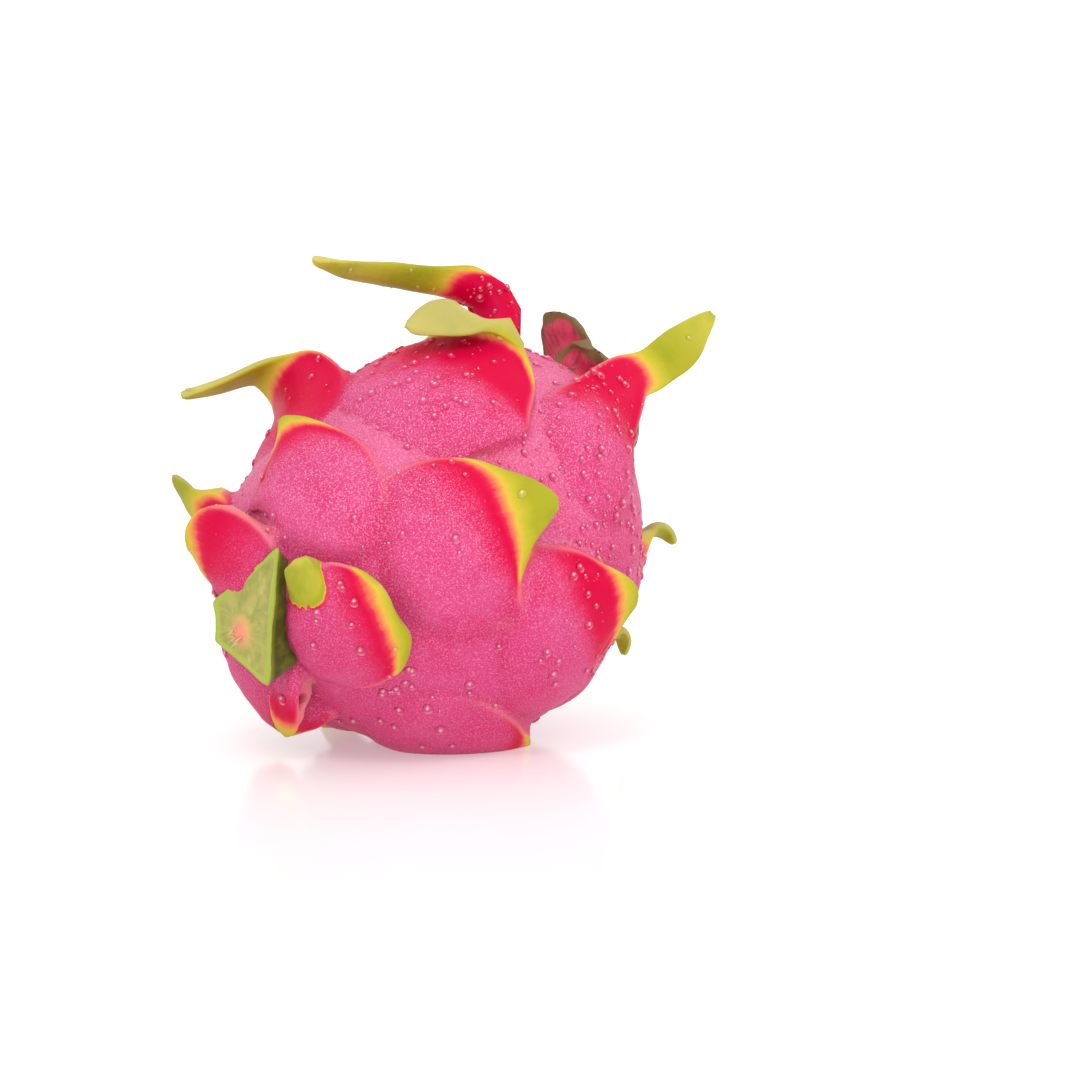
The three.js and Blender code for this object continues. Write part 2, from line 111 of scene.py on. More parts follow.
# The scales of the front. Each row of a path is a station, an azimuth, a height and a half width, from
# the root to the tip. Bulge is how far the middle stands above the margins, cup the curve of the free
# blade, and twist its turn in degrees. Green is the length of the green tip, rim the width of the green
# margin beside it and reach how far down the scale that margin is seen. Blush is the length of the crimson
# zone next to it, and lean slants the green tip's end towards the side of the larger azimuths.
FRONT_SCALES = {
    "upper_left_shield": {
        "bulge": 2.5, "green": 5, "rim": 2.4, "reach": 10, "blush": 4,
        "path": [
            (26, 24, -2, 14), (35, 24, 2.5, 20.5), (43, 19, 3.8, 21.5), (49.5, 12.5, 4.2, 18.5),
            (55, 5, 4.6, 13), (60, -2, 5.4, 6.5), (64, -8, 7, 1),
        ],
    },
    "middle_shield": {
        "bulge": 3, "green": 12, "rim": 2.4, "reach": 7, "blush": 5,
        "path": [
            (40, 76, -2, 12), (50, 72, 2.5, 18), (60, 68, 3.8, 22.5), (68, 65, 4.5, 22.5),
            (75, 64.5, 5, 17.5), (82, 66, 6.3, 10), (87, 68, 7.8, 5), (90.5, 70, 9, 1),
        ],
    },
    "top_folded_back": {
        "bulge": 1.2, "twist": 20, "green": 20, "rim": 2.2, "reach": 12,
        "path": [
            (70, 24, -2, 16), (82, 20, 3, 25), (94, 16, 4.5, 29), (105, 14, 5, 24),
            (112, 12, 5.5, 17), (115, 11, 6.8, 12), (113, 10, 8.6, 9.5), (106, 8.5, 9.5, 7),
            (97, 7, 10.8, 1.5),
        ],
    },
    "right_horn": {
        "bulge": 3, "green": 27, "rim": 0.9, "reach": 12,
        "path": [
            (96, 74, -2, 12), (110, 69, 2, 16), (122, 63, 4, 15), (134, 59, 5.5, 10),
            (143, 57, 9.5, 6.5), (150, 60.5, 15, 5.4), (155, 60.5, 24, 5.4), (157, 58.5, 31, 3.6),
            (158, 57, 37.3, 1.1),
        ],
    },
    "left_horn": {
        "bulge": 2.5, "green": 27, "rim": 0.7, "reach": 12,
        "path": [
            (56, -32, -2, 16), (67, -33, 2.2, 23), (76, -34, 4, 25.5), (82, -35, 7, 21),
            (85.5, -36, 10.5, 14.5), (86.5, -36.5, 13.5, 8.5), (83, -36.5, 15.8, 5.2),
            (74, -36, 18.3, 3.5), (64.5, -36, 23.3, 0.5),
        ],
    },
    "top_horn": {
        "bulge": 2, "cup": 0.15, "twist": -25, "green": 37, "rim": 2.2, "reach": 24,
        "path": [
            (116, -16, -2, 16), (128, -19, 3, 22), (136, -20.5, 6.5, 20), (139.5, -20.5, 9.7, 16),
            (134, -18.5, 12.2, 11.5), (121, -16.5, 15.8, 7), (107, -15.5, 22.2, 4.8),
            (96.5, -15, 30, 0.6),
        ],
    },
    "far_left_spur": {
        "bulge": 2, "green": 13, "rim": 1, "reach": 12,
        "path": [
            (28, -50, -2, 7), (38, -50, 2, 10), (45, -50, 5, 8),
            (48, -50, 9, 5), (52, -50, 13.5, 3), (55, -50, 18, 0.5),
        ],
    },
    "left_of_stem": {
        "bulge": 2, "green": 3.5, "rim": 1.2, "reach": 4, "blush": 5,
        "path": [
            (3, -33, -2, 8), (8, -31, 1.5, 13), (13, -28, 3.4, 17), (17.5, -26, 5, 19.5),
            (21, -28, 6.3, 17), (23.5, -34, 7.5, 11), (25.5, -42, 8.8, 3.5),
        ],
    },
    "right_of_stem": {
        "bulge": 3, "green": 3, "rim": 3.0, "reach": 5, "blush": 2, "lean": 0.45,
        "path": [
            (4, 100, -2, 8), (12, 94, 3, 12.5), (21, 86.5, 5, 16), (30, 79, 6, 17),
            (36.5, 74, 6.8, 14.5), (41, 71, 7.4, 10.5), (44, 70, 7.8, 5),
        ],
    },
    "leaflet_by_stem": {
        "bulge": 1, "twist": -25, "green": 25, "rim": 1.6, "reach": 16,
        "path": [
            (16, 64, 1, 3), (21, 58, 4, 5), (26, 51, 5.5, 5.5), (30, 45, 6.5, 4), (32, 40, 7, 1),
        ],
    },
    "spur_under_stem": {
        "bulge": 1.5, "green": 5.5, "rim": 0.3, "reach": 5,
        "path": [(8, 160, 1, 4), (14, 170, 6, 5.5), (20, 181, 8.5, 4.5), (25.5, 191, 10.5, 0.8)],
    },
    "below_stem": {
        "bulge": 2, "green": 1, "rim": 0.4, "reach": 8,
        "path": [
            (10, -140, -2, 10), (18, -143, 3, 18), (25, -147, 6.5, 21),
            (31, -152, 8.3, 16), (34.5, -156, 9.2, 4),
        ],
    },
    "low_right": {
        "bulge": 3, "green": 6, "rim": 0.6, "reach": 6, "blush": 14,
        "path": [
            (60, 118, -2, 16), (72, 112, 2.5, 25), (82, 107, 3.8, 29), (90, 105, 4.5, 21),
            (96, 105, 5.3, 13), (101, 105.5, 6.5, 7), (105, 106.5, 8, 1),
        ],
    },
    "under_front": {
        "bulge": 2.5, "green": 4, "rim": 1.0, "reach": 9,
        "path": [
            (28, 146, -2, 12), (42, 150, 2, 19), (56, 154, 3, 20),
            (68, 156, 4, 15), (77, 157, 5, 7), (82, 158, 6, 0.8),
        ],
    },
}

# The scales of the back and the underside, in the same staggered rings
RINGS = [
    {"root": 28, "span": 38, "azimuths": [-96, -144], "half": 18, "rise": 5, "tongue": 8},
    {"root": 56, "span": 40, "azimuths": [-80, -124, -170], "half": 18, "rise": 5, "tongue": 15},
    {"root": 88, "span": 40, "azimuths": [-62, -104, -148, 168], "half": 17, "rise": 5, "tongue": 18},
    {"root": 114, "span": 34, "azimuths": [-78, -126, -172, 152], "half": 14, "rise": 6, "tongue": 12},
]
RING_BULGE = 2.5
RING_COLOURS = {"rim": 0.9, "reach": 8, "blush": 9}
RING_GREEN = 5
GREEN_SHARE = 0.8  # of a tongue's length, added to its green tip
PRESSED_GREEN = 1.5  # of scales that the fruit lies on
RING_JITTER = 5
TONGUE_ROOM = 0.5
SEED = 322324079


# Numbers and curves

def dot(a, b):
    return np.sum(a * b, axis=-1)


def unit(v):
    return v / np.linalg.norm(v, axis=-1, keepdims=True)


def smoothstep(x, low, high):
    share = np.clip((x - low) / (high - low), 0, 1)
    return share * share * (3 - 2 * share)


def curve_through(rows, t):
    """A Catmull-Rom curve through rows of numbers, at each t from 0 to 1."""
    rows = np.asarray(rows, float)
    last = len(rows) - 1
    everything = np.vstack([2 * rows[0] - rows[1], rows, 2 * rows[last] - rows[last - 1]])
    place = np.clip(t, 0, 1) * last
    span = np.minimum(np.floor(place).astype(int), last - 1)
    f = (place - span)[:, None]
    a, b, c, d = (everything[span + k] for k in range(4))
    square = 2 * a - 5 * b + 4 * c - d
    cube = 3 * b - a - 3 * c + d
    return 0.5 * (2 * b + (c - a) * f + square * f**2 + cube * f**3)


def seeded_draws(seed):
    """The same draws as in the part's source, evenly between 0 and 1."""
    state = seed
    while True:
        state = (state * 1664525 + 1013904223) & 0xFFFFFFFF
        yield state / 2**32


def lumps(points, size, seed):
    """Smooth noise from about -1 to 1 at each point, with lumps of about that size."""
    shift = Vector((seed * 17.3, seed * 5.1, seed * 11.7))
    return np.array([noise.noise(Vector(p) / size + shift) for p in points])


# The body

def on_rind(station, azimuth):
    psi = np.radians(station)
    phi = np.radians(azimuth)
    share = np.cos(psi)
    radius = BODY_RADIUS * np.abs(np.sin(psi)) ** BODY_FULLNESS
    navel = np.where(station > 90, NAVEL_DEPTH * np.exp(-((radius / NAVEL_RADIUS) ** 2)), 0)
    along = -BODY_LENGTH / 2 * share - navel
    upward = radius * np.cos(phi) - BELLY_SAG * (1 - share**2)
    sideways = radius * np.sin(phi)
    return MIDDLE + along[..., None] * AXIS + upward[..., None] * TOP + sideways[..., None] * SIDE


def directions_at(station, azimuth):
    """Directions at places on the rind: out from it, and round the axis."""
    step = 0.25
    s = np.clip(station, 1, 179)
    phi = np.radians(azimuth)[..., None]
    round_axis = -np.sin(phi) * TOP + np.cos(phi) * SIDE
    onward = on_rind(s + step, azimuth) - on_rind(s - step, azimuth)
    return unit(np.cross(round_axis, onward)), round_axis


def out_from(station, azimuth, height):
    return on_rind(station, azimuth) + directions_at(station, azimuth)[0] * height[..., None]


# Sheets: points, faces, and fields that hold what is known about each point, before they are joined.
# Ripeness is a distance in millimetres past the end of the green tip and margins, below 0 in the green.

GREENEST = -24.0
RIPEST = 12.0


def body_sheet():
    station = np.repeat(np.arange(1, BODY_ROWS) * 180 / BODY_ROWS, BODY_COLUMNS)
    azimuth = np.tile(np.arange(BODY_COLUMNS) * 360 / BODY_COLUMNS, BODY_ROWS - 1)
    station = np.concatenate([[0.0], station, [180.0]])
    azimuth = np.concatenate([[0.0], azimuth, [0.0]])
    points = on_rind(station, azimuth)
    faces = []
    last = len(points) - 1
    end = last - BODY_COLUMNS
    for column in range(BODY_COLUMNS):
        beside = (column + 1) % BODY_COLUMNS
        faces.append((0, 1 + beside, 1 + column))
        faces.append((last, end + column, end + beside))
        for here in range(1, end, BODY_COLUMNS):
            there = here + BODY_COLUMNS
            faces.append((here + column, here + beside, there + beside, there + column))
    count = len(points)
    fields = {
        "ripe": np.full(count, RIPEST),
        "blush": np.zeros(count),
        "line": np.zeros(count),
        "under": np.zeros(count),
        "across": np.radians(azimuth) * BODY_RADIUS,
        "along": station,
        "seed": np.zeros(count),
    }
    return points, faces, fields


def tube_faces(rows, ring, facing):
    """Faces of a tube of rings, closed at both ends by joining each ring's two halves."""
    faces = []
    for i in range(rows):
        for k in range(ring):
            a = i * ring + k
            b = i * ring + (k + 1) % ring
            faces.append((a, b, b + ring, a + ring))
    for k in range(ring // 2 - 1):
        other = ring - 1 - k
        end = rows * ring
        faces.append((k, other, other - 1, k + 1))
        faces.append((end + k, end + k + 1, end + other - 1, end + other))
    return faces if facing > 0 else [face[::-1] for face in faces]


TIP_CROWDING = 1.3  # rows get closer together towards the tip
EDGE_ROUNDING = 10  # the power that keeps the rounding of a margin narrow
LEAST_SHARE = 0.15  # of a thickness or width, left at a rounded end
BEAD_HEIGHT = 0.5
BEAD_WIDTH = 1.3
GROOVE_DEPTH = 0.45
GROOVE_PLACE = 3.6
GROOVE_WIDTH = 1.8
RIM_LINE = 0.7  # half the width of the pale line along every margin
RIM_FADING = 2.2  # how fast a green margin ripens past its reach
TIP_SOFTNESS = 1.8  # how much wider the change of colour is at a tip than at a margin
BLUSH_LEAST = 3.0  # how much longer than its green tip a scale's crimson zone is
MARGIN_BLUSH = 3.2  # the width of the crimson zone along a margin
MARGIN_BLUSH_REACH = 26.0
MARGIN_BLUSH_STRENGTH = 0.7
FULL_BLUSH_LENGTH = 8.0  # from this length on, the margins have their whole crimson


def both_sides(grid):
    """The values of a scale's outer side, and again for its inner side, whose points run backwards."""
    return np.concatenate([grid, grid[:, ::-1]], axis=1).ravel()


def scale_fields(scale, along, x, to_margin, seed):
    """What is known about each point of a scale, from its places along and across the blade."""
    length = along[-1]
    whole = np.ones_like(x)
    past_tip = (length - along)[:, None] - scale["green"] - scale.get("lean", 0) * x
    down_blade = np.maximum(past_tip, 0)
    fading = down_blade / scale["reach"]
    past_rim = to_margin - scale["rim"] * np.exp(-fading) + RIM_FADING * fading**1.5
    ripe = -np.logaddexp(-past_tip / TIP_SOFTNESS, -past_rim)
    blush_length = scale.get("blush", BLUSH_LEAST + scale["green"])
    tip_blush = np.exp(-((down_blade / blush_length) ** 2))
    upper_half = smoothstep(along / length, 0.3, 0.7)[:, None]
    margin_blush = np.exp(-((to_margin / MARGIN_BLUSH) ** 2)) * upper_half
    margin_blush *= MARGIN_BLUSH_STRENGTH * min(1, blush_length / FULL_BLUSH_LENGTH)
    margin_blush *= np.exp(-((down_blade / MARGIN_BLUSH_REACH) ** 2))
    line = np.exp(-((to_margin / RIM_LINE) ** 2)) * smoothstep(along / length, 0.25, 0.5)[:, None]
    return {
        "ripe": both_sides(np.clip(ripe, GREENEST, RIPEST)),
        "blush": both_sides(np.maximum(tip_blush, margin_blush)),
        "line": both_sides(line * whole),
        "under": np.concatenate([0 * whole, whole], axis=1).ravel(),
        "across": both_sides(x),
        "along": both_sides(along[:, None] * whole),
        "seed": np.full(2 * x.size, float(seed)),
    }


def scale_sheet(scale, columns, seed, row_step=ROW_STEP):
    """A leaf-shaped solid along a path, as in the part's source, with a rounded tip and margins."""
    bulge = scale["bulge"]
    cup = scale.get("cup", BLADE_CUP)
    blade = scale.get("blade", BLADE_THICKNESS)
    fine_t = np.linspace(0, 1, 400)
    fine = curve_through(scale["path"], fine_t)
    fine_centres = out_from(fine[:, 0], fine[:, 1], fine[:, 2])
    steps = np.linalg.norm(np.diff(fine_centres, axis=0), axis=1)
    travelled = np.concatenate([[0.0], np.cumsum(steps)])
    length = travelled[-1]
    rows = max(16, round(length / row_step))
    along = length * (1 - (1 - np.linspace(0, 1, rows + 1)) ** TIP_CROWDING)
    t = np.interp(along, travelled, fine_t)
    station, azimuth, height, half = curve_through(scale["path"], t).T
    centre = out_from(station, azimuth, height)
    out, round_axis = directions_at(station, azimuth)
    run = unit(np.gradient(centre, axis=0))
    across = unit(round_axis - dot(round_axis, run)[:, None] * run)
    face = np.cross(across, run)
    facing = np.sign(dot(face[0], out[0]))
    face *= facing
    turn = np.radians(scale.get("twist", 0)) * smoothstep(t, 0.4, 1)
    free = smoothstep(height, FREE_FROM, FREE_FROM + FREE_OVER)
    radius = BODY_RADIUS * np.sin(np.radians(station)) ** BODY_FULLNESS
    radial = np.cross(round_axis, AXIS)
    hug = np.abs(dot(out, radial)) / np.maximum(radius, 4)
    bend = (hug * (1 - free) + cup * free)[:, None]

    to_tip = length - along
    end_length = 1.2 * max(half[-1], 1)
    ending = np.sqrt(1 - (1 - np.clip(to_tip / end_length, 0, 1)) ** 2)
    ending = np.maximum(ending, LEAST_SHARE)[:, None]
    w = np.sin((np.arange(columns + 1) / columns - 0.5) * math.pi)[None, :]
    crown = np.sqrt(1 - w**2)
    rounding = np.maximum(np.sqrt(1 - np.abs(w) ** EDGE_ROUNDING), LEAST_SHARE)
    x = half[:, None] * w * ending
    to_margin = half[:, None] * (1 - np.abs(w))
    lying = (1 - free)[:, None]
    fall = bulge * lying * np.abs(w) ** 2.5
    blade_depth = EDGE_THICKNESS + (blade - EDGE_THICKNESS) * crown
    rooted_depth = np.maximum(height[:, None] - fall + ROOT_DEPTH, EDGE_THICKNESS)
    depth = rooted_depth * lying + blade_depth * (1 - lying)
    trim = 0.5 * EDGE_THICKNESS * (1 - rounding) + 0.5 * blade_depth * (1 - ending)
    marked = smoothstep(along / length, 0.1, 0.5)[:, None] * smoothstep(half, 3, 12)[:, None]
    bead = BEAD_HEIGHT * np.exp(-((to_margin / BEAD_WIDTH) ** 2))
    groove = GROOVE_DEPTH * np.exp(-(((to_margin - GROOVE_PLACE) / GROOVE_WIDTH) ** 2))
    angle = bend * x
    surface = (np.cos(angle) - 1) / bend - fall
    outer_x = np.sin(angle) / bend - np.sin(angle) * trim
    outer_y = surface - np.cos(angle) * trim + (bead - groove) * marked
    inner_x = np.sin(angle) / bend - np.sin(angle) * (depth - trim)
    inner_y = surface - np.cos(angle) * (depth - trim)

    def in_space(flat_x, flat_y):
        c = np.cos(turn)[:, None]
        s = np.sin(turn)[:, None]
        sideways = (flat_x * c - flat_y * s)[..., None]
        outwards = (flat_x * s + flat_y * c)[..., None]
        return centre[:, None] + across[:, None] * sideways + face[:, None] * outwards

    points = np.concatenate([in_space(outer_x, outer_y), in_space(inner_x, inner_y)[:, ::-1]], axis=1)
    fields = scale_fields(scale, along, x, to_margin, seed)
    return points.reshape(-1, 3), tube_faces(rows, 2 * (columns + 1), facing), fields


def ring_scale(ring, azimuth, draws):
    span = ring["span"]
    start = ring["root"] + RING_JITTER * (next(draws) - 0.5)
    middle = azimuth + RING_JITTER * (next(draws) - 0.5)
    veer = RING_JITTER * (next(draws) - 0.5)
    tip = start + span
    rise = ring["rise"]
    half = ring["half"]
    room = out_from(np.array(tip), np.array(azimuth), np.array(rise))[2] * TONGUE_ROOM
    length = min(ring["tongue"], room) * (0.8 + 0.4 * next(draws))
    pressed = 0.5 if abs(middle) > 140 and tip < 120 else 1
    path = [
        (start, middle, -2, 0.6 * half),
        (start + 0.3 * span, middle, 2.5 * pressed, half),
        (start + 0.55 * span, middle + veer, 4 * pressed, 0.95 * half),
        (start + 0.78 * span, middle + veer, rise * pressed, 0.62 * half),
        (start + 0.93 * span, middle + 2 * veer, rise * pressed + 0.25 * length, 0.36 * half),
        (tip, middle + 2 * veer, rise * pressed + 0.6 * length, 0.24 * half),
        (tip - 0.1 * span, middle + 3 * veer, rise * pressed + length, 0.5),
    ]
    green = PRESSED_GREEN if pressed < 1 else RING_GREEN + GREEN_SHARE * length
    return {"bulge": RING_BULGE, "green": green, "path": path, **RING_COLOURS}


def hidden_scales():
    draws = seeded_draws(SEED)
    return [ring_scale(ring, azimuth, draws) for ring in RINGS for azimuth in ring["azimuths"]]


# The stub of the stem

STUB_SIDE_POINTS = 40
STUB_ROUNDING = 14  # passes that soften the ribs
STUB_RINGS = 16
CUT_RINGS = 14
CUT_BEVEL = 0.7
CUT_DISH = 0.9
CUT_INSET = 0.96
MOUND_HEIGHT = 1.9
MOUND_RADIUS = 2.3
STRAND_COUNT = 16
STRAND_STEPS = 8
STRAND_SIDES = 7
STRAND_RADIUS = 0.55
STRAND_RISE = 0.5
STRAND_TOP = 1.7


def stub_outline():
    ribs = np.array(STUB_RIBS, float)
    points = []
    for rib, following in zip(ribs, np.roll(ribs, -1, axis=0)):
        waist = (rib + following) / 2 * (1 - STUB_WAIST)
        for t in np.arange(STUB_SIDE_POINTS) / STUB_SIDE_POINTS:
            points.append(rib * (1 - t) ** 2 + waist * 2 * t * (1 - t) + following * t**2)
    outline = np.array(points)
    for _ in range(STUB_ROUNDING):
        outline = 0.5 * outline + 0.25 * (np.roll(outline, 1, axis=0) + np.roll(outline, -1, axis=0))
    return outline


def stub_place():
    """The middle of the cut and the directions across it, up it and out of it."""
    middle = on_rind(np.array(0.0), np.array(0.0)) - STUB_OUT * AXIS + STUB_RISE * TOP
    return middle, SIDE, UP, np.array([-1.0, 0.0, 0.0])


def stub_sheet():
    outline = stub_outline()
    ring = len(outline)
    core = np.array(CORE_PLACE)
    rows = []
    rims = []
    for k in range(STUB_RINGS + 1):
        share = k / STUB_RINGS
        size = STUB_TAPER + (1 - STUB_TAPER) * share
        flat = outline * size
        depth = -STUB_LENGTH * (1 - share) - (CUT_BEVEL if k == STUB_RINGS else 0)
        rows.append(np.column_stack([flat, np.full(ring, depth)]))
        rims.append(np.full(ring, -STUB_LENGTH * (1 - share)))
    for k in range(CUT_RINGS):
        share = 1 - k / CUT_RINGS
        inset = CUT_INSET * share
        flat = core + (outline - core) * inset
        from_core = np.linalg.norm(flat - core, axis=1)
        dish = CUT_DISH * (1 - share**4)
        mound = MOUND_HEIGHT * np.exp(-((from_core / MOUND_RADIUS) ** 2))
        rows.append(np.column_stack([flat, mound - dish]))
        rims.append(np.linalg.norm(outline - core, axis=1) * (1 - share))
    rows.append(np.array([[*core, MOUND_HEIGHT - CUT_DISH]]))
    rims.append(np.array([12.0]))
    local = np.concatenate(rows)
    middle, side, up, out = stub_place()
    points = middle + local[:, :1] * side + local[:, 1:2] * up + local[:, 2:3] * out
    faces = []
    ring_count = STUB_RINGS + 1 + CUT_RINGS
    for row in range(ring_count - 1):
        for k in range(ring):
            beside = (k + 1) % ring
            here = row * ring
            faces.append((here + k, here + ring + k, here + ring + beside, here + beside))
    last = ring_count * ring
    for k in range(ring):
        faces.append((last - ring + k, last, last - ring + (k + 1) % ring))
    faces.append(tuple(range(ring)))
    fields = {
        "rim": np.concatenate(rims),
        "core": np.linalg.norm(local[:, :2] - core, axis=1),
        "turn": np.arctan2(local[:, 1] - core[1], local[:, 0] - core[0]),
        "strand": np.zeros(len(local)),
    }
    return points, faces, fields


def strand_sheet(draw):
    """One torn fibre of the core, a tapering bent tube."""
    middle, side, up, out = stub_place()
    around = draw.uniform(0, 2 * math.pi)
    away = draw.uniform(0.2, 1) * CORE_RADIUS * 0.6
    across = np.array(CORE_PLACE) + away * np.array([math.cos(around), math.sin(around)])
    start = np.array([*across, -0.6])
    reach = draw.uniform(1.2, 2.2)
    lean = np.array([draw.uniform(-1.2, 0.4), draw.uniform(-1.4, 0.3), 0.7])
    turns = np.arange(STRAND_SIDES) * 2 * math.pi / STRAND_SIDES
    ring = np.column_stack([np.cos(turns), np.sin(turns), 0 * turns])
    rows = []
    for k in range(STRAND_STEPS + 1):
        share = k / STRAND_STEPS
        bent = start + lean * reach * share * (0.5 + 0.5 * share)
        bent[2] = min(bent[2] + STRAND_RISE * reach * share, STRAND_TOP)
        radius = draw.uniform(0.9, 1.1) * STRAND_RADIUS * (1 - 0.8 * share)
        rows.append(bent + radius * ring)
    local = np.concatenate(rows)
    points = middle + local[:, :1] * side + local[:, 1:2] * up + local[:, 2:3] * out
    last = STRAND_STEPS * STRAND_SIDES
    faces = [tuple(range(STRAND_SIDES)), tuple(range(last, last + STRAND_SIDES))[::-1]]
    for row in range(STRAND_STEPS):
        here = row * STRAND_SIDES
        there = here + STRAND_SIDES
        for k in range(STRAND_SIDES):
            beside = (k + 1) % STRAND_SIDES
            faces.append((here + k, there + k, there + beside, here + beside))
    count = len(points)
    fields = {
        "rim": np.full(count, 9.0),
        "core": np.full(count, 1.0),
        "turn": np.full(count, around),
        "strand": np.repeat(np.linspace(0.4, 1, STRAND_STEPS + 1), STRAND_SIDES),
    }
    return points, faces, fields


# The withered flower

def flap_sheets():
    sheets = []
    for k, length in enumerate(FLAP_LENGTHS):
        azimuth = FLAP_START + 360 * k / len(FLAP_LENGTHS)
        lowness = 1 - math.cos(math.radians(azimuth))
        last = len(FLAP_PATH) - 1
        path = [
            (station + FLAP_CLOSING * lowness * i / last, azimuth, height * length, half)
            for i, (station, height, half) in enumerate(FLAP_PATH)
        ]
        flap = {
            "bulge": 0, "cup": 0.05, "blade": FLAP_THICKNESS, "path": path,
            "green": 1.6, "rim": 1.3, "reach": 60,
        }
        sheets.append(scale_sheet(flap, FRONT_COLUMNS, k + 61, row_step=0.6))
    return sheets


# Making and joining meshes

def make_object(name, points, faces):
    mesh = bpy.data.meshes.new(name)
    mesh.from_pydata((np.asarray(points) * MM).tolist(), [], faces)
    mesh.validate()
    made = bpy.data.objects.new(name, mesh)
    bpy.context.scene.collection.objects.link(made)
    return made


def joined(name, sheets):
    """One closed mesh of overlapping solids, without what lies below the ground."""
    whole = make_object(name, sheets[0][0], sheets[0][1])
    others = bpy.data.collections.new(name + "_parts")
    for points, faces, _ in sheets[1:]:
        part = make_object(name + "_part", points, faces)
        bpy.context.scene.collection.objects.unlink(part)
        others.objects.link(part)
    union = whole.modifiers.new("union", "BOOLEAN")
    union.operand_type = "COLLECTION"
    union.collection = others
    union.solver = "MANIFOLD"
    union.operation = "UNION"
    bpy.context.scene.collection.children.link(others)
    ground = ground_box()
    cut = whole.modifiers.new("cut", "BOOLEAN")
    cut.object = ground
    cut.solver = "MANIFOLD"
    cut.operation = "DIFFERENCE"
    bpy.context.view_layer.update()
    evaluated = whole.evaluated_get(bpy.context.evaluated_depsgraph_get())
    mesh = bpy.data.meshes.new_from_object(evaluated)
    mesh.materials.clear()
    whole.modifiers.clear()
    whole.data = mesh
    for part in list(others.objects):
        bpy.data.objects.remove(part)
    bpy.data.collections.remove(others)
    bpy.data.objects.remove(ground)
    return whole


def ground_box():
    size = 400
    corners = [(x * size, y * size, z) for z in (-size, 0) for y in (-1, 1) for x in (-1, 1)]
    faces = [(0, 2, 3, 1), (4, 5, 7, 6), (0, 1, 5, 4), (2, 6, 7, 3), (0, 4, 6, 2), (1, 3, 7, 5)]
    return make_object("ground", corners, faces)


def points_of(mesh):
    flat = np.empty(len(mesh.vertices) * 3)
    mesh.vertices.foreach_get("co", flat)
    return flat.reshape(-1, 3) / MM


def set_points(mesh, points):
    mesh.vertices.foreach_set("co", (points * MM).ravel())
    mesh.update()


def normals_of(mesh):
    flat = np.empty(len(mesh.vertices) * 3)
    mesh.vertex_normals.foreach_get("vector", flat)
    return flat.reshape(-1, 3)


def edges_of(mesh):
    flat = np.empty(len(mesh.edges) * 2, int)
    mesh.edges.foreach_get("vertices", flat)
    return flat.reshape(-1, 2)


def tree_of(points):
    tree = KDTree(len(points))
    for i, p in enumerate(points):
        tree.insert(p, i)
    tree.balance()
    return tree


def take_fields(made, sheets):
    """Gives each vertex the fields of the nearest point of the sheets it was joined from."""
    source = np.concatenate([points for points, _, _ in sheets])
    tree = tree_of(source)
    nearest = np.array([tree.find(p)[1] for p in points_of(made.data)])
    for field in sheets[0][2]:
        values = np.concatenate([fields[field] for _, _, fields in sheets])[nearest]
        add_field(made, field, values)


def values_of(mesh, field):
    values = np.empty(len(mesh.vertices), np.float32)
    mesh.attributes[field].data.foreach_get("value", values)
    return values


def add_field(made, field, values):
    attribute = made.data.attributes.get(field) or made.data.attributes.new(field, "FLOAT", "POINT")
    attribute.data.foreach_set("value", np.asarray(values, np.float32))


def crease_distance(made, reach, angle=25):
    """Each vertex's distance to the nearest concave crease, up to the reach."""
    mesh = made.data
    points = points_of(mesh)
    centres = np.array([p.center for p in mesh.polygons]) / MM
    normals = np.array([p.normal for p in mesh.polygons])
    faces_of_edge = {}
    for polygon in mesh.polygons:
        for key in polygon.edge_keys:
            faces_of_edge.setdefault(key, []).append(polygon.index)
    keys = [key for key, pair in faces_of_edge.items() if len(pair) == 2]
    pairs = np.array([faces_of_edge[key] for key in keys])
    one, other = pairs.T
    sharp = dot(normals[one], normals[other]) < math.cos(math.radians(angle))
    concave = dot(centres[other] - centres[one], normals[one]) > 0
    on_crease = np.unique(np.array(keys)[sharp & concave].ravel())
    tree = tree_of(points[on_crease])
    distance = np.array([tree.find(p)[2] for p in points])
    return np.minimum(distance, reach)


def blended(mesh, values, weights, rounds):
    """Values per vertex, each drawn towards the mean of its neighbours by its weight, again and again."""
    a, b = edges_of(mesh).T
    count = np.bincount(a, minlength=len(values)) + np.bincount(b, minlength=len(values))
    for _ in range(rounds):
        total = np.bincount(a, values[b], len(values)) + np.bincount(b, values[a], len(values))
        values = values + weights * (total / np.maximum(count, 1) - values)
    return values


def smooth(made, weights, rounds):
    """Rounds a mesh where the weights say so, without sinking below the ground."""
    points = points_of(made.data)
    points = np.stack([blended(made.data, points[:, k], weights, rounds) for k in range(3)], axis=1)
    points[:, 2] = np.maximum(points[:, 2], 0)
    set_points(made.data, points)


# Materials

def srgb(red, green, blue):
    """A colour given as a screen shows it, from 0 to 255, as the linear colour that nodes take."""
    shares = [c / 255 for c in (red, green, blue)]
    linear = [c / 12.92 if c <= 0.04045 else ((c + 0.055) / 1.055) ** 2.4 for c in shares]
    return (*linear, 1.0)


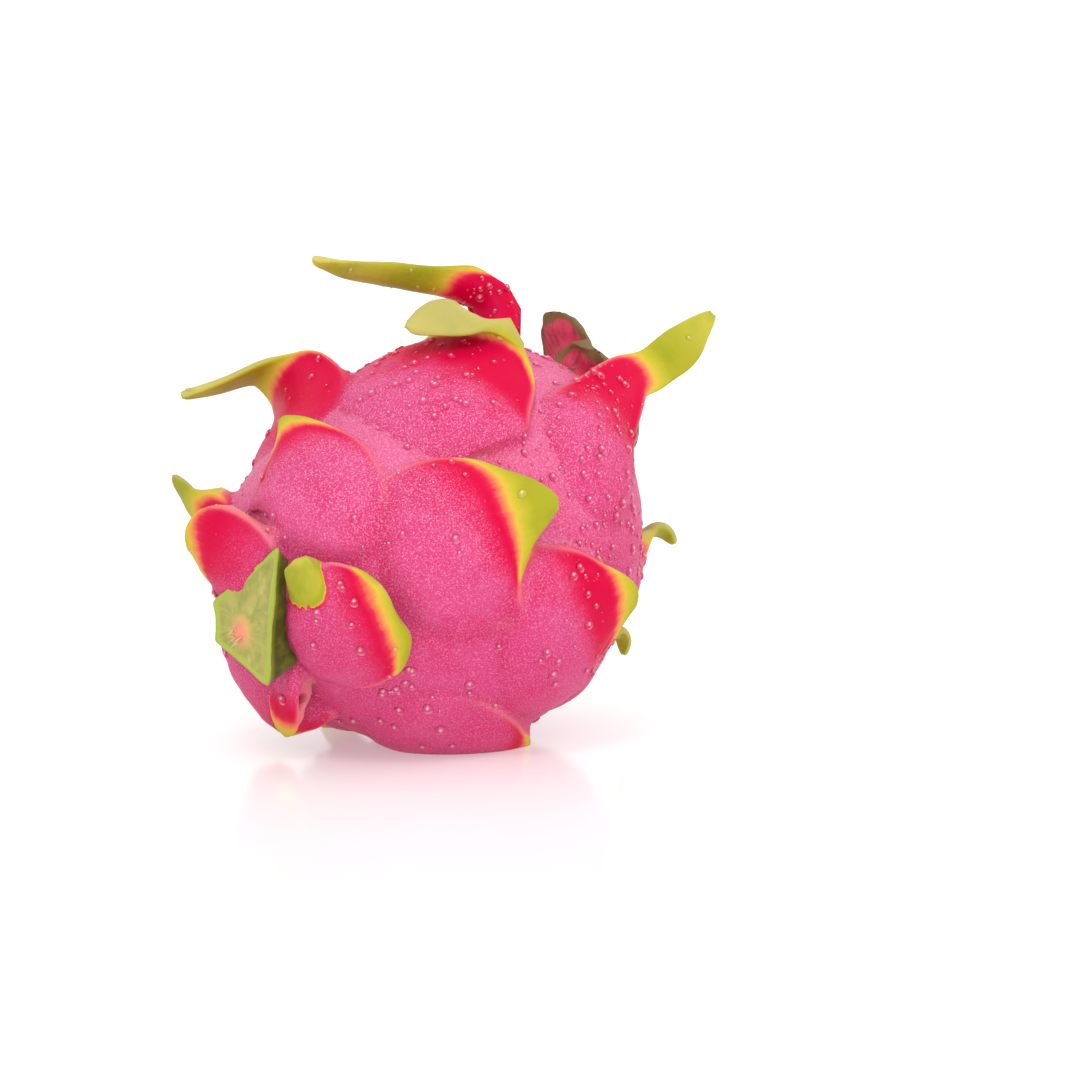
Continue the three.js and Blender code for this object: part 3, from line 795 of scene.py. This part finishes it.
class Nodes:
    """Short calls for the nodes of one material."""

    def __init__(self, name):
        self.material = bpy.data.materials.new(name)
        self.material.use_nodes = True
        self.tree = self.material.node_tree
        self.tree.nodes.clear()

    def add(self, kind, inputs=None, **settings):
        made = self.tree.nodes.new(kind)
        for key, value in settings.items():
            setattr(made, key, value)
        for key, value in (inputs or {}).items():
            if isinstance(value, bpy.types.NodeSocket):
                self.tree.links.new(value, made.inputs[key])
            else:
                made.inputs[key].default_value = value
        return made

    def math(self, operation, a, b):
        return self.add("ShaderNodeMath", {0: a, 1: b}, operation=operation).outputs[0]

    def times(self, *values):
        product = values[0]
        for value in values[1:]:
            product = self.math("MULTIPLY", product, value)
        return product

    def shifted(self, value, noise, strength):
        """A value with noise added to it, of either sign."""
        return self.math("ADD", value, self.times(self.math("SUBTRACT", noise, 0.5), strength))

    def mapped(self, value, low, high, to_low=0.0, to_high=1.0):
        inputs = {"Value": value, "From Min": low, "From Max": high, "To Min": to_low, "To Max": to_high}
        return self.add("ShaderNodeMapRange", inputs, interpolation_type="SMOOTHSTEP").outputs[0]

    def field(self, name):
        return self.add("ShaderNodeAttribute", attribute_name=name).outputs["Fac"]

    def place(self):
        return self.add("ShaderNodeTexCoord").outputs["Object"]

    def grain(self, fineness, stretch):
        """A place on a scale, for noise in long streaks, and another one on each scale."""
        inputs = {
            "X": self.times(self.field("across"), fineness),
            "Y": self.times(self.field("along"), stretch),
            "Z": self.field("seed"),
        }
        return self.add("ShaderNodeCombineXYZ", inputs).outputs[0]

    def noise(self, vector, scale=1.0, detail=2.0, roughness=0.5, distortion=0.0):
        inputs = {
            "Vector": vector, "Scale": scale, "Detail": detail,
            "Roughness": roughness, "Distortion": distortion,
        }
        return self.add("ShaderNodeTexNoise", inputs).outputs[0]

    def mix(self, share, a, b, blend="MIX"):
        made = self.add("ShaderNodeMix", data_type="RGBA", blend_type=blend)
        for key, value in ((0, share), (6, a), (7, b)):
            if isinstance(value, bpy.types.NodeSocket):
                self.tree.links.new(value, made.inputs[key])
            else:
                made.inputs[key].default_value = value
        return made.outputs[2]

    def ramp(self, value, stops):
        made = self.add("ShaderNodeValToRGB", {"Fac": value})
        elements = made.color_ramp.elements
        elements[0].position, elements[0].color = stops[0]
        elements[1].position, elements[1].color = stops[-1]
        for position, colour in stops[1:-1]:
            elements.new(position).color = colour
        return made.outputs[0]

    def bump(self, height, strength, distance, normal=None):
        inputs = {"Height": height, "Strength": strength, "Distance": distance}
        if normal:
            inputs["Normal"] = normal
        return self.add("ShaderNodeBump", inputs).outputs[0]

    def finish(self, inputs):
        shader = self.add("ShaderNodeBsdfPrincipled", inputs)
        self.add("ShaderNodeOutputMaterial", {"Surface": shader.outputs[0]})
        return self.material


# The skin's colour by its ripeness in millimetres
RIPENING = [
    (-24.0, (196, 182, 80)),
    (-15.0, (194, 184, 74)),
    (-7.0, (166, 162, 42)),
    (-3.0, (164, 160, 36)),
    (-1.2, (188, 176, 48)),
    (-0.3, (212, 176, 66)),
    (0.5, (228, 120, 80)),
    (1.2, (214, 44, 74)),
    (2.0, (206, 6, 62)),
    (4.5, (204, 20, 78)),
    (8.0, (203, 56, 112)),
]
DEEP_GREEN = srgb(126, 142, 26)
LIGHT_PINK = srgb(208, 84, 136)
DEEP_PINK = srgb(200, 26, 90)
CRIMSON = srgb(204, 1, 60)
# painted shade: a deeper pink laid into the concave creases between scales
CREASE_SHADE_PINK = srgb(188, 14, 78)
MARGIN_PINK = srgb(236, 140, 150)
UNDERSIDE = srgb(214, 190, 150)
# paler pink of the upward-facing valleys of the body: mist, with painted light from above
VALLEY_MIST_AND_SHEEN_PINK = srgb(228, 132, 168)
# pale pinks of the water mist and beads, which also serve as painted sheen and highlights
MIST_AND_SHEEN_PINK = srgb(240, 150, 184)
BEAD_AND_HIGHLIGHT_PINK = srgb(244, 172, 202)


def skin_colour(n):
    """The skin's colour without water, how much it has no crimson or green, and its streaks."""
    streaks = n.noise(n.grain(0.6, 0.11), 1.0, 3.0, 0.55)
    patches = n.noise(n.place(), 90.0, 3.0, 0.55)
    clouds = n.noise(n.place(), 38.0, 2.0, 0.5)
    ripe = n.shifted(n.shifted(n.field("ripe"), streaks, 1.3), patches, 1.6)
    share = n.math("DIVIDE", n.math("SUBTRACT", ripe, GREENEST), RIPEST - GREENEST)
    flesh = n.ramp(share, [((mm - GREENEST) / (RIPEST - GREENEST), srgb(*c)) for mm, c in RIPENING])
    pinkness = n.mapped(ripe, 1.5, 7.0)
    green = n.times(n.mapped(ripe, -0.5, -4.0), n.mapped(patches, 0.45, 0.7), 0.5)
    colour = n.mix(green, flesh, DEEP_GREEN)
    cloudy = n.times(n.mapped(clouds, 0.35, 0.65), pinkness, 0.5)
    colour = n.mix(cloudy, colour, LIGHT_PINK)
    mottled = n.times(n.mapped(patches, 0.42, 0.7), pinkness, 0.5)
    colour = n.mix(mottled, colour, DEEP_PINK)
    ragged_blush = n.shifted(n.field("blush"), patches, 0.5)
    crimson = n.times(n.mapped(ragged_blush, 0.2, 0.75), n.mapped(ripe, 0.8, 2.4))
    colour = n.mix(crimson, colour, CRIMSON)
    line = n.times(n.field("line"), n.mapped(ripe, 0.0, 1.5, 0.0, 0.6))
    colour = n.mix(line, colour, MARGIN_PINK)
    # painted shade: darker pink near the creases between scales
    colour = n.mix(n.times(n.field("crease_shade"), pinkness, 0.4), colour, CREASE_SHADE_PINK)
    colour = n.mix(n.times(n.field("under"), 0.3), colour, UNDERSIDE)
    plain = n.times(pinkness, n.math("SUBTRACT", 1.0, crimson))
    return colour, plain, streaks


def rind_material():
    """Skin under a mist of fine beads of water, which are denser where it faces up. The mist and the beads
    lighten the skin partly as water and partly as painted sheen and highlights, and the bare body is painted
    paler where it faces up.
    """
    n = Nodes("rind")
    colour, plain, streaks = skin_colour(n)
    where = n.place()
    normal = n.add("ShaderNodeNewGeometry").outputs["Normal"]
    upward = n.add("ShaderNodeSeparateXYZ", {0: normal}).outputs[2]
    # more mist and painted sheen where the skin faces up
    wet_and_sheen = n.times(plain, n.mapped(upward, -0.6, 0.9, 0.5, 1.0))
    # the bare body painted paler where it faces up: mist, with painted light from above
    bare = n.times(n.mapped(n.field("seed"), 0.6, 0.2), n.mapped(upward, -0.1, 0.6))
    colour = n.mix(n.times(bare, plain, 0.3), colour, VALLEY_MIST_AND_SHEEN_PINK)
    mist = n.noise(where, 2400.0, 4.0, 0.8)
    crowded = n.math("ADD", n.noise(where, 110.0, 3.0, 0.6), n.times(upward, 0.14))
    bead_place = {"Vector": where, "Scale": 1900.0, "Detail": 2.0, "Roughness": 0.7}
    from_bead = n.add("ShaderNodeTexVoronoi", bead_place).outputs["Distance"]
    bead = n.times(n.mapped(from_bead, 0.5, 0.2), n.mapped(crowded, 0.42, 0.68))
    # mist and beads lighten the skin: water, with painted sheen and highlights
    colour = n.mix(n.times(n.mapped(mist, 0.5, 0.6), wet_and_sheen, 0.75), colour, MIST_AND_SHEEN_PINK)
    colour = n.mix(n.times(bead, wet_and_sheen, 0.7), colour, BEAD_AND_HIGHLIGHT_PINK)
    relief = n.bump(streaks, 0.25, 0.0006)
    relief = n.bump(n.times(mist, wet_and_sheen), 0.5, 0.0003, relief)
    relief = n.bump(n.times(bead, wet_and_sheen), 0.7, 0.0002, relief)
    return n.finish(
        {
            "Base Color": colour,
            "Roughness": n.mapped(mist, 0.4, 0.7, 0.46, 0.3),
            "Normal": relief,
            "Subsurface Weight": 0.1,
            "Subsurface Radius": (0.003, 0.001, 0.0013),
            "Subsurface Scale": 1.0,
            "Specular IOR Level": 0.07,
        }
    )


def stub_material():
    n = Nodes("stem")
    rim = n.field("rim")
    core = n.field("core")
    spokes = n.add(
        "ShaderNodeCombineXYZ",
        {"X": n.times(n.field("turn"), 9.0), "Y": n.times(core, 0.25), "Z": 0.0},
    ).outputs[0]
    fibres = n.noise(spokes, 1.0, 4.0, 0.65)
    patches = n.noise(n.place(), 260.0, 3.0, 0.6)
    skin = n.mix(n.mapped(patches, 0.35, 0.65), srgb(74, 84, 24), srgb(104, 112, 36))
    skin = n.mix(n.mapped(rim, -2.5, -0.4), skin, srgb(142, 158, 48))
    flesh = n.mix(n.mapped(patches, 0.3, 0.7), srgb(142, 146, 56), srgb(178, 168, 82))
    flesh = n.mix(n.times(n.mapped(fibres, 0.45, 0.75), 0.35), flesh, srgb(206, 196, 128))
    flesh = n.mix(n.mapped(rim, 0.9, 2.2), srgb(166, 176, 62), flesh)
    ragged_core = n.shifted(core, fibres, 5.0)
    flesh = n.mix(n.mapped(ragged_core, 5.2, 2.2), flesh, srgb(214, 176, 104))
    flesh = n.mix(n.mapped(ragged_core, 3.6, 1.6), flesh, srgb(226, 142, 106))
    colour = n.mix(n.mapped(rim, -0.3, 0.2), skin, flesh)
    torn = n.mix(n.mapped(fibres, 0.3, 0.7), srgb(214, 128, 96), srgb(226, 178, 132))
    colour = n.mix(n.mapped(n.field("strand"), 0.1, 0.4), colour, torn)
    normal = n.bump(fibres, 0.35, 0.0005)
    normal = n.bump(patches, 0.3, 0.0004, normal)
    return n.finish(
        {
            "Base Color": colour,
            "Roughness": n.mapped(patches, 0.3, 0.7, 0.42, 0.6),
            "Normal": normal,
            "Subsurface Weight": 0.1,
            "Subsurface Radius": (0.002, 0.003, 0.001),
            "Subsurface Scale": 1.0,
        }
    )


def flower_material():
    n = Nodes("dried_flower")
    veins = n.noise(n.grain(0.9, 0.14), 1.0, 5.0, 0.65, 0.6)
    patches = n.noise(n.place(), 300.0, 3.0, 0.6)
    petal = n.mix(n.mapped(patches, 0.3, 0.7), srgb(222, 74, 106), srgb(196, 56, 88))
    petal = n.mix(n.times(n.mapped(veins, 0.5, 0.72), 0.75), petal, srgb(126, 44, 62))
    ragged = n.shifted(n.field("ripe"), patches, 1.2)
    return n.finish(
        {
            "Base Color": n.mix(n.mapped(ragged, 0.9, 0.3), petal, srgb(122, 96, 54)),
            "Roughness": n.mapped(veins, 0.3, 0.7, 0.55, 0.8),
            "Normal": n.bump(veins, 0.5, 0.0007),
        }
    )


def drop_material():
    """Clear water: the skin's colour under it, with painted shade on the side of the light, painted
    brightness on the other side and a painted white highlight, and glossy.
    """
    n = Nodes("water")
    colour, _, _ = skin_colour(n)
    painted_drop_shading = n.field("painted_drop_shading")
    # painted shade on the side of the drop towards the light
    colour = n.mix(n.mapped(painted_drop_shading, 0.0, -0.8, 0.0, 0.55), colour, (0.6, 0.45, 0.5, 1.0), "MULTIPLY")
    # painted brightness on the side of the drop away from the light
    colour = n.mix(n.mapped(painted_drop_shading, 0.1, 0.9, 0.0, 0.6), colour, srgb(246, 176, 200))
    # painted highlight: a white spot towards the light
    colour = n.mix(n.times(n.field("painted_glint"), 0.6), colour, (1.0, 1.0, 1.0, 1.0))
    return n.finish(
        {
            "Base Color": colour,
            "Roughness": n.mapped(n.noise(n.place(), 300.0), 0.3, 0.7, 0.04, 0.08),
            "IOR": 1.33,
        }
    )


def floor_material():
    """A smooth white sheet, a little bright of itself, as a lit studio floor looks."""
    n = Nodes("floor")
    fleck = n.noise(n.place(), 40.0, 2.0, 0.5)
    return n.finish(
        {
            "Base Color": (0.68, 0.68, 0.68, 1),
            "Roughness": n.mapped(fleck, 0, 1, 0.13, 0.17),
            "IOR": 1.25,
            "Emission Color": (1, 1, 1, 1),
            "Emission Strength": 0.3,
        }
    )


# The pieces

CREASE_REACH = 8.0
FILLET = 1.8
FILLET_ROUNDS = 24
# how fast the painted shade in the creases fades, in millimetres
CREASE_SHADE_WIDTH = 1.8
BORDER_WIDTH = 1.2  # how near a crease the colours run into each other
BORDER_ROUNDS = 12

# Unevenness of each piece: how high and how wide its lumps are, and their number for the noise
RIND_LUMPS = [(0.35, 14, 9), (0.12, 5, 10)]
WRINKLES = (0.5, 3.2, 11)
WRINKLE_REACH = 30.0  # from the stem
STUB_LUMPS = [(0.18, 2.6, 3), (0.35, 9, 4)]
FLAP_WRINKLES = (0.45, 2.2, 5)
FLAP_CRUMPLING = 0.9  # how far a flap's points are moved any way


def uneven_by(points, kinds):
    return sum(height * lumps(points, size, number) for height, size, number in kinds)


def finish_piece(made, material, node):
    made.data.materials.append(material)
    made.data.shade_smooth()
    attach(made, "root")
    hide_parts(node)


def make_rind():
    sheets = [body_sheet()]
    for number, scale in enumerate(FRONT_SCALES.values()):
        sheets.append(scale_sheet(scale, FRONT_COLUMNS, number + 1))
    for number, scale in enumerate(hidden_scales()):
        sheets.append(scale_sheet(scale, HIDDEN_COLUMNS, number + 31))
    rind = joined("rind", sheets)
    take_fields(rind, sheets)
    distance = crease_distance(rind, CREASE_REACH)
    smooth(rind, 0.6 * np.exp(-((distance / FILLET) ** 2)), FILLET_ROUNDS)
    points = points_of(rind.data)
    from_stem = np.linalg.norm(points - on_rind(np.array(0.0), np.array(0.0)), axis=1)
    near_stem = np.exp(-((from_stem / WRINKLE_REACH) ** 2))
    uneven = uneven_by(points, RIND_LUMPS) + near_stem * uneven_by(points, [WRINKLES])
    uneven *= smoothstep(points[:, 2], 0.5, 6)
    set_points(rind.data, points + normals_of(rind.data) * uneven[:, None])
    # painted shade in the creases, fading with the distance from them
    add_field(rind, "crease_shade", np.exp(-distance / CREASE_SHADE_WIDTH))
    near_crease = 0.5 * np.exp(-distance / BORDER_WIDTH)
    for field in ("ripe", "blush", "line", "under"):
        values = blended(rind.data, values_of(rind.data, field), near_crease, BORDER_ROUNDS)
        add_field(rind, field, values)
    finish_piece(rind, rind_material(), "fruit")
    return rind


def make_stub():
    draw = np.random.default_rng(SEED)
    sheets = [stub_sheet()] + [strand_sheet(draw) for _ in range(STRAND_COUNT)]
    stub = joined("stem", sheets)
    take_fields(stub, sheets)
    points = points_of(stub.data)
    set_points(stub.data, points + normals_of(stub.data) * uneven_by(points, STUB_LUMPS)[:, None])
    finish_piece(stub, stub_material(), "stem_stub")


def make_flower():
    sheets = flap_sheets()
    flower = joined("flower", sheets)
    take_fields(flower, sheets)
    points = points_of(flower.data)
    wrinkled = uneven_by(points * np.array([1, 1, 0.5]), [FLAP_WRINKLES])
    crumpled = FLAP_CRUMPLING * np.stack([lumps(points, 6, k) for k in (6, 7, 8)], axis=1)
    set_points(flower.data, points + crumpled + normals_of(flower.data) * wrinkled[:, None])
    finish_piece(flower, flower_material(), "withered_flower")


# Water drops

# the skin's fields that the drops take over, the painted crease shade among them
RIND_FIELDS = ["ripe", "blush", "line", "under", "across", "along", "seed", "crease_shade"]
DROP_COUNT = 2600
BIG_DROPS = 16  # in a patch low on the front
BIG_DROP_PLACE = (40, 128)  # its station and azimuth
BIG_DROP_SIZES = (0.8, 1.5)
BIG_DROP_SPREAD = 9
DROPS_ON_GREEN = 0.15  # how many there are on green parts and undersides, compared with the pink skin
DROP_LIGHT = unit(np.array([-0.7, -0.55, 1.1]))
# where the painted highlight sits on a drop, and how wide it is
PAINTED_GLINT_PLACE = 0.5  # of a drop's radius, from its middle towards the light
PAINTED_GLINT_SIZE = 0.24
DROP_FLATNESS = 0.55
DROP_SUNK = 0.12  # millimetres of a drop's skirt below the skin
DROP_SMALLEST = 0.22
DROP_LARGEST = 1.3
LARGE_FROM = 0.5  # from this radius on, a drop has more faces
DROPS_FROM_GROUND = 3
DROP_STEEPNESS = 3.5  # the power of a draw, which makes most drops small


def painted_drop_light(aside, out):
    """For places on a drop, how far each lies from the light, which sets its painted shade and brightness,
    and how much it is in the painted highlight spot.
    """
    toward_light = DROP_LIGHT - dot(DROP_LIGHT, out) * out
    level = aside - dot(aside, out)[:, None] * out
    from_glint = np.linalg.norm(level - PAINTED_GLINT_PLACE * toward_light, axis=1)
    return -dot(level, toward_light), np.exp(-((from_glint / PAINTED_GLINT_SIZE) ** 2))


def drop_sheet(draw, low, out, radius):
    """A flattened, uneven drop, with its painted shading by the light and its painted highlight for each
    point.
    """
    large = radius > LARGE_FROM
    sides = 12 if large else 8
    rings = 4 if large else 2
    turns = np.arange(sides) * 2 * math.pi / sides
    wobble = 1 + 0.1 * np.sin(2 * turns + draw.uniform(0, 6)) + 0.06 * np.sin(3 * turns + draw.uniform(0, 6))
    one = unit(np.cross(out, AXIS + 0.01))
    other = np.cross(out, one)
    round_it = np.cos(turns)[:, None] * one + np.sin(turns)[:, None] * other
    rows = [low - out * DROP_SUNK + round_it * (radius * wobble)[:, None]]
    for ring in range(rings):
        lift = ring / rings * math.pi / 2
        height = DROP_FLATNESS * radius * math.sin(lift)
        rows.append(low + out * height + round_it * (radius * math.cos(lift) * wobble)[:, None])
    rows.append((low + out * DROP_FLATNESS * radius)[None, :])
    faces = [tuple(range(sides - 1, -1, -1))]
    for row in range(rings):
        for k in range(sides):
            beside = (k + 1) % sides
            here = row * sides
            faces.append((here + k, here + beside, here + sides + beside, here + sides + k))
    top = (rings + 1) * sides
    for k in range(sides):
        faces.append((rings * sides + k, rings * sides + (k + 1) % sides, top))
    points = np.concatenate(rows)
    return points, faces, *painted_drop_light((points - low) / radius, out)


def drop_places(draw, mesh, points):
    """Faces to put drops on: first those of the patch low on the front, then more towards the flower."""
    areas = np.array([p.area for p in mesh.polygons])
    middles = np.array([points[p.vertices[0]] for p in mesh.polygons])
    patch = on_rind(*np.array(BIG_DROP_PLACE, float))
    near_patch = np.exp(-((np.linalg.norm(middles - patch, axis=1) / BIG_DROP_SPREAD) ** 2)) * areas
    sought = areas * (0.2 + smoothstep((middles - MIDDLE) @ AXIS, -25, 25))
    big = draw.choice(len(areas), size=BIG_DROPS, p=near_patch / near_patch.sum())
    others = draw.choice(len(areas), size=DROP_COUNT * 4, p=sought / sought.sum())
    return np.concatenate([big, others])


def make_drops(rind):
    """Water drops on the skin, seeded, mostly small, few on green parts and none near the ground."""
    draw = np.random.default_rng(SEED + 1)
    mesh = rind.data
    points = points_of(mesh)
    normals = normals_of(mesh)
    skin_fields = {name: values_of(mesh, name) for name in RIND_FIELDS}
    drop_fields = {name: [] for name in RIND_FIELDS + ["painted_drop_shading", "painted_glint"]}
    corners = []
    faces = []
    count = 0
    made = 0
    for number, index in enumerate(drop_places(draw, mesh, points)):
        around = list(mesh.polygons[index].vertices)
        share = draw.dirichlet(np.ones(len(around)))
        low = share @ points[around]
        out = unit(share @ normals[around])
        below = {name: share @ values[around] for name, values in skin_fields.items()}
        on_pink = below["ripe"] > 2 and below["under"] < 0.3
        chance = (0.5 + noise.noise(Vector(low) / 22)) * (1 if on_pink else DROPS_ON_GREEN)
        radius = DROP_SMALLEST + (DROP_LARGEST - DROP_SMALLEST) * draw.random() ** DROP_STEEPNESS
        if number < BIG_DROPS:
            radius = draw.uniform(*BIG_DROP_SIZES)
        elif draw.random() > chance or low[2] < DROPS_FROM_GROUND:
            continue
        drop, drop_faces, painted_drop_shading, painted_glint = drop_sheet(draw, low, out, radius)
        corners.append(drop)
        faces += [tuple(count + k for k in face) for face in drop_faces]
        count += len(drop)
        for name, value in below.items():
            drop_fields[name].append(np.full(len(drop), value))
        # the painted shading and painted highlight of each point
        drop_fields["painted_drop_shading"].append(painted_drop_shading)
        drop_fields["painted_glint"].append(painted_glint)
        made += 1
        if made >= DROP_COUNT:
            break
    drops = make_object("water_drops", np.concatenate(corners), faces)
    for name, values in drop_fields.items():
        add_field(drops, name, np.concatenate(values))
    drops.data.materials.append(drop_material())
    drops.data.shade_smooth()
    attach(drops, "root")


# The stage and the camera

VIEW_AZIMUTH = math.radians(-42)
VIEW_ELEVATION = math.radians(7)
VIEW_DISTANCE = 720
LENS = 100
SENSOR = 36
FRAME_PIXELS = 1080
MIDDLE_PIXEL = (428, 522)  # where the middle of the body is seen


def add_camera():
    across = np.array([math.cos(VIEW_AZIMUTH), math.sin(VIEW_AZIMUTH), 0])
    level = math.cos(VIEW_ELEVATION)
    back = np.array(
        [math.sin(VIEW_AZIMUTH) * level, -math.cos(VIEW_AZIMUTH) * level, math.sin(VIEW_ELEVATION)]
    )
    up = np.cross(back, across)
    pixel = VIEW_DISTANCE * SENSOR / LENS / FRAME_PIXELS
    centre = FRAME_PIXELS / 2
    target = MIDDLE + across * (centre - MIDDLE_PIXEL[0]) * pixel + up * (MIDDLE_PIXEL[1] - centre) * pixel
    camera = bpy.data.objects.new("camera", bpy.data.cameras.new("camera"))
    camera.data.lens = LENS
    camera.data.sensor_width = SENSOR
    camera.data.clip_start = 0.01
    camera.data.clip_end = 20
    camera.matrix_world = Matrix(np.column_stack([across, up, back]).tolist()).to_4x4()
    camera.location = Vector(((target + back * VIEW_DISTANCE) * MM).tolist())
    bpy.context.scene.collection.objects.link(camera)
    bpy.context.scene.camera = camera


# Lights: the place in metres, the size in metres and the power in watts
LIGHTS = {
    "key": ((-0.7, -0.55, 1.1), 0.35, 4),
    "right": ((0.9, -0.7, 0.7), 0.3, 1.8),
    "low": ((-0.55, -0.95, 0.1), 0.5, 3.2),
}
LIGHTS_AIM = 0.05  # the height in metres that they are turned to
FLOOR_SIZE = 12
BACKDROP_BRIGHTNESS = 1.03


def add_light(name, place, size, power):
    light = bpy.data.lights.new(name, "AREA")
    light.shape = "DISK"
    light.size = size
    light.energy = power
    lamp = bpy.data.objects.new(name, light)
    lamp.location = place
    toward = Vector((0, 0, LIGHTS_AIM)) - Vector(place)
    lamp.rotation_euler = toward.to_track_quat("-Z", "Y").to_euler()
    bpy.context.scene.collection.objects.link(lamp)


def add_stage():
    bpy.ops.mesh.primitive_plane_add(size=FLOOR_SIZE)
    floor = bpy.context.object
    floor.name = "floor"
    floor.data.materials.append(floor_material())
    world = bpy.data.worlds.new("studio")
    bpy.context.scene.world = world
    world.use_nodes = True
    backdrop = world.node_tree.nodes["Background"]
    backdrop.inputs["Color"].default_value = (1, 1, 1, 1)
    backdrop.inputs["Strength"].default_value = BACKDROP_BRIGHTNESS
    for name, (place, size, power) in LIGHTS.items():
        add_light(name, place, size, power)
    bpy.context.scene.view_settings.view_transform = "Standard"


add_camera()
skin = make_rind()
make_stub()
make_flower()
make_drops(skin)
add_stage()
